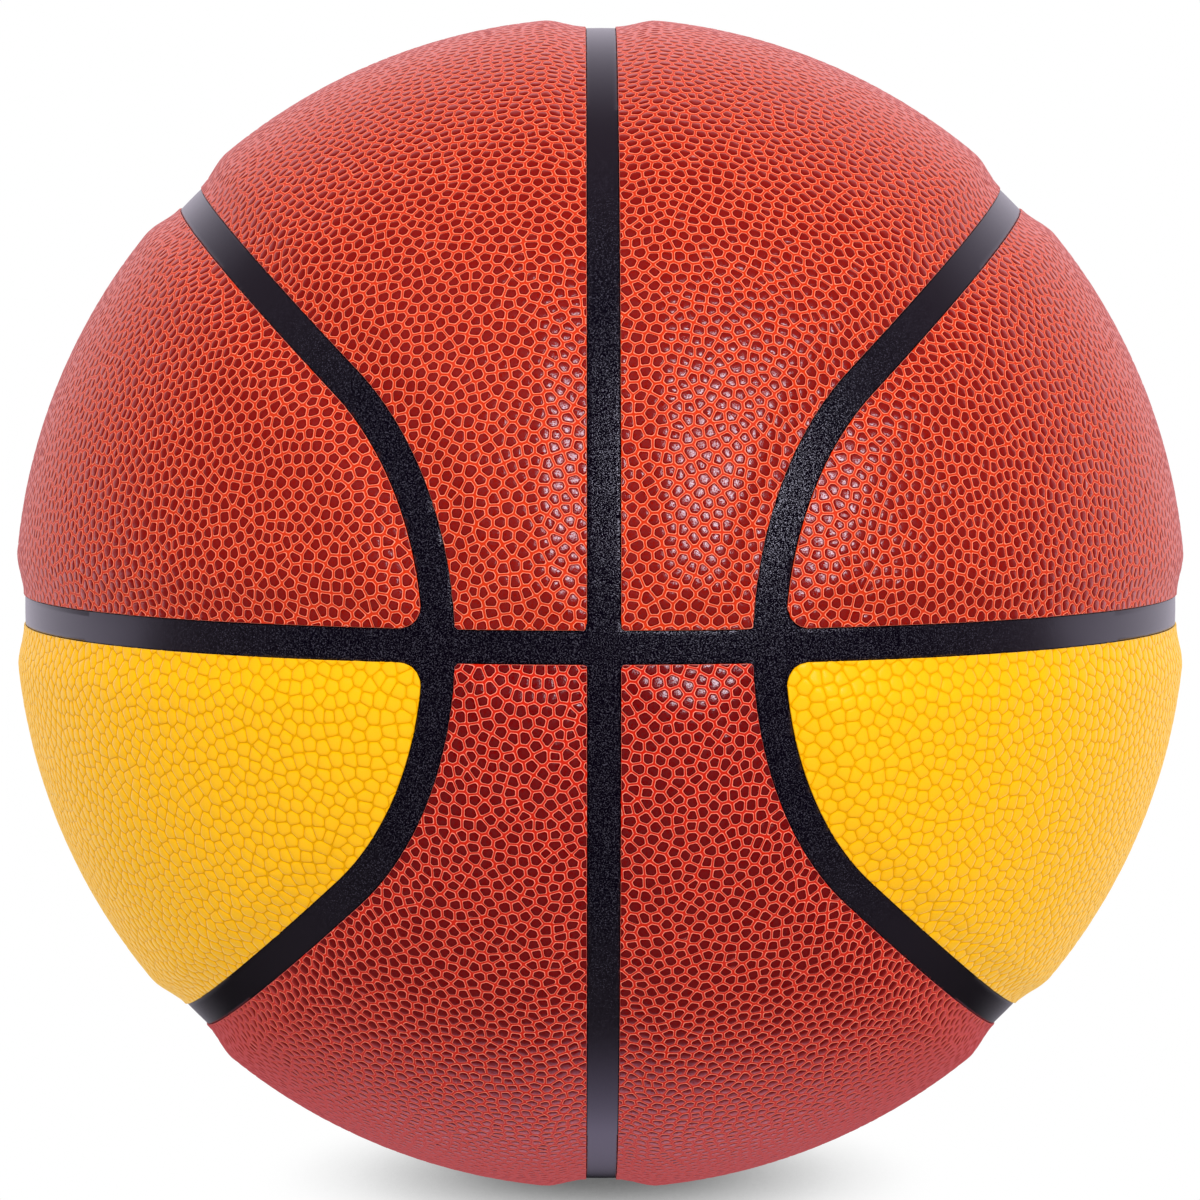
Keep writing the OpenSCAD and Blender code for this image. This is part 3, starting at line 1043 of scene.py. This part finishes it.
rubbers = {
    "cushion_foam": dict(
        colour=(0.55, 0.55, 0.53), roughness=0.95, scale=1600, grain=0.9
    ),
    "carcass_rubber": dict(
        colour=(0.020, 0.020, 0.022), roughness=0.6, scale=500, grain=0.4
    ),
    "bladder_rubber": dict(
        colour=(0.040, 0.037, 0.038), roughness=0.35, scale=150, grain=0.2
    ),
    "valve_rubber": dict(
        colour=(0.015, 0.014, 0.016), roughness=0.4, scale=900, grain=0.2
    ),
    "valve_core_rubber": dict(
        colour=(0.030, 0.026, 0.024), roughness=0.6, scale=900, grain=0.3
    ),
}
inner_materials = {name: plain_rubber(name, **look) for name, look in rubbers.items()}
inner_materials["winding_thread"] = thread_material("winding_thread", (0.75, 0.73, 0.66))
inner_slots = {
    "carcass": "carcass_rubber",
    "thread_winding": "winding_thread",
    "bladder": "bladder_rubber",
    "valve_housing": "valve_rubber",
    "valve_core": "valve_core_rubber",
}
for name in nodes:
    if name.startswith("pad_"):
        inner_slots[name] = "cushion_foam"
for name, slot_name in inner_slots.items():
    nodes[name].data.materials.clear()
    nodes[name].data.materials.append(inner_materials[slot_name])
print("inner solids with a material:", len(inner_slots))

# %% [markdown]
# ## Floor, light and camera
#
# The ball stands on a white floor in an all white room. A real white floor would
# need strong light to be as white as the photo's, and that light would bleach the
# ball. So the floor shines by itself, and it is darker where the ball stands close
# above it, which gives the soft shadow.
#
# What the ball mirrors of the floor is another look of the same sheet, a painted
# reflection set by place: black where the ball touches it, as painted shadow, a pale
# ring round that place, and farther out dark in front of the ball and pale behind it.

# %% Floor
floor_half = 6.0
shadow_reach = 0.5
shadow_samples = 48
shadow_stops = [
    (0.0, grey(0.12)), (0.10, grey(0.49)), (0.22, grey(0.85)), (0.32, grey(1.0)),
]
front_dark = (0.004, 0.004, 0.004)
back_pale = (0.84, 0.78, 0.90)
ring_reflection_pale = (0.78, 0.68, 0.92)
touch_end = 18 * mm
ring_from = 52 * mm
ring_to = 55 * mm
open_from = 95 * mm
behind_from = 250 * mm

low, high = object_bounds()
floor_corners = [
    (-floor_half, -floor_half, low.z),
    (floor_half, -floor_half, low.z),
    (floor_half, floor_half, low.z),
    (-floor_half, floor_half, low.z),
]
floor_mesh = bpy.data.meshes.new("floor")
floor_mesh.from_pydata(floor_corners, [], [(0, 1, 2, 3)])
floor = add_object("floor", floor_mesh)
floor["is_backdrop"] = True

paper, tree_nodes, links = new_material("white_paper")
tree_nodes.remove(tree_nodes["Principled BSDF"])
closeness = tree_nodes.new("ShaderNodeAmbientOcclusion")
closeness.inputs["Distance"].default_value = shadow_reach
closeness.samples = shadow_samples
shade = ramp_node(tree_nodes, links, closeness.outputs["AO"], shadow_stops)
where = tree_nodes.new("ShaderNodeTexCoord")
parts = tree_nodes.new("ShaderNodeSeparateXYZ")
links.new(where.outputs["Object"], parts.inputs["Vector"])
flat = tree_nodes.new("ShaderNodeVectorMath")
flat.operation = "MULTIPLY"
flat.inputs[1].default_value = (1, 1, 0)
links.new(where.outputs["Object"], flat.inputs[0])
length = tree_nodes.new("ShaderNodeVectorMath")
length.operation = "LENGTH"
links.new(flat.outputs["Vector"], length.inputs[0])
from_foot = length.outputs["Value"]
back_share = share_node(tree_nodes, links, parts.outputs["Y"], 0.0, behind_from)
far = mix_node(tree_nodes, links, back_share, front_dark, back_pale)
ring_share = share_node(tree_nodes, links, from_foot, touch_end, ring_from)
near = mix_node(tree_nodes, links, ring_share, front_dark, ring_reflection_pale)
open_share = share_node(tree_nodes, links, from_foot, ring_to, open_from)
mirrored = mix_node(tree_nodes, links, open_share, near, far)
path = tree_nodes.new("ShaderNodeLightPath")
# Glossy rays see the painted reflection, other rays the floor with its shadow.
seen = mix_node(tree_nodes, links, path.outputs["Is Glossy Ray"], shade, mirrored)
glow = tree_nodes.new("ShaderNodeEmission")
links.new(seen, glow.inputs["Color"])
links.new(glow.outputs["Emission"], tree_nodes["Material Output"].inputs["Surface"])
floor_mesh.materials.append(paper)
floor.visible_diffuse = False
print("floor at", round(low.z / mm, 2), "mm")

# %% [markdown]
# The ball stands in a white tent, which lights it softly from all sides. What the
# ball mirrors is the studio outside the tent's opening: dark grey above the camera,
# nearly black below it, and pale behind the ball, which shows as a pale sheen on the
# strips along the ball's outline. On the covers the gloss fades there, and their pale
# sheen is painted into the colour. The camera itself sees plain white all round.

# %% Room light
tent_light = grey(0.85)
upper_wall = (0.028, 0.028, 0.034)
wall_low = -0.05
wall_high = 0.3
back_way = (0.10, 0.97, -0.20)
back_from = 0.15
back_to = 0.75

world = bpy.data.worlds.new("studio")
bpy.context.scene.world = world
world.use_nodes = True
tree_nodes, links = world.node_tree.nodes, world.node_tree.links
background = tree_nodes["Background"]
toward = tree_nodes.new("ShaderNodeTexCoord")
parts = tree_nodes.new("ShaderNodeSeparateXYZ")
links.new(toward.outputs["Generated"], parts.inputs["Vector"])
up_share = share_node(tree_nodes, links, parts.outputs["Z"], wall_low, wall_high)
front_wall = mix_node(tree_nodes, links, up_share, front_dark, upper_wall)
behind = tree_nodes.new("ShaderNodeVectorMath")
behind.operation = "DOT_PRODUCT"
behind.inputs[1].default_value = back_way
links.new(toward.outputs["Generated"], behind.inputs[0])
back_share = share_node(tree_nodes, links, behind.outputs["Value"], back_from, back_to)
mirrored = mix_node(tree_nodes, links, back_share, front_wall, back_pale)
path = tree_nodes.new("ShaderNodeLightPath")
room = mix_node(tree_nodes, links, path.outputs["Is Glossy Ray"], tent_light, mirrored)
seen = mix_node(tree_nodes, links, path.outputs["Is Camera Ray"], room, grey(1.0))
links.new(seen, background.inputs["Color"])
print("room:", world.name)

# %% [markdown]
# A large soft lamp in front, above and to the right lays the shine on the pebbles
# beside the upright channel. A second lamp fills from the left. It gives no shine,
# because the photo shows only one.

# %% Lamps
def add_lamp(name, around, up, distance, width, height, watts, mirrored):
    """A soft rectangular lamp that faces the ball, with its place in degrees round
    the ball from the camera's side and above it. Only a mirrored one shows as shine."""
    data = bpy.data.lights.new(name, "AREA")
    data.shape = "RECTANGLE"
    data.size, data.size_y = width, height
    data.energy = watts
    lamp = add_object(name, data)
    a, e = math.radians(around), math.radians(up)
    toward = Vector((math.sin(a) * math.cos(e), -math.cos(a) * math.cos(e), math.sin(e)))
    lamp.location = toward * distance
    lamp.rotation_mode = "QUATERNION"
    lamp.rotation_quaternion = toward.to_track_quat("Z", "Y")
    lamp.visible_glossy = mirrored
    lamp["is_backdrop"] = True
    print(name, "at", around, "degrees round and", up, "degrees up")


add_lamp(
    "key_lamp", around=26, up=26, distance=1.4, width=0.60, height=0.62,
    watts=7.5, mirrored=True,
)
add_lamp(
    "left_fill", around=-35, up=45, distance=1.6, width=1.2, height=1.2,
    watts=6.0, mirrored=False,
)

# %% [markdown]
# The camera stands 0.79 m from the ball's centre and looks down by 4
# degrees. These values were fitted to the channels' middle lines in the photo, and
# so was the small shift of the picture, in pixels of the photo.

# %% Camera
distance = 0.79
around = math.radians(-0.33)
up = math.radians(3.85)
photo_px = 1200
shift_right_px = -0.3
shift_up_px = 3.0

camera_data = bpy.data.cameras.new("camera")
camera = add_object("camera", camera_data)
toward = Vector(
    (math.sin(around) * math.cos(up), -math.cos(around) * math.cos(up), math.sin(up))
)
camera.location = toward * distance
camera.rotation_mode = "QUATERNION"
camera.rotation_quaternion = toward.to_track_quat("Z", "Y")
camera_data.sensor_width = 36
camera_data.lens = 115.0
camera_data.shift_x = shift_right_px / photo_px
camera_data.shift_y = shift_up_px / photo_px
camera_data.clip_start = 0.05
camera_data.clip_end = 30
bpy.context.scene.camera = camera
bpy.context.scene.view_settings.view_transform = "Standard"
print("camera at", [round(v, 3) for v in camera.location])

# %% [markdown]
#
# The dressed ball has to keep the solid model's size. Its box is printed below.

# %% Sizes
low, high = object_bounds()
print("dressed ball:", [round(v / mm, 2) for v in high - low])
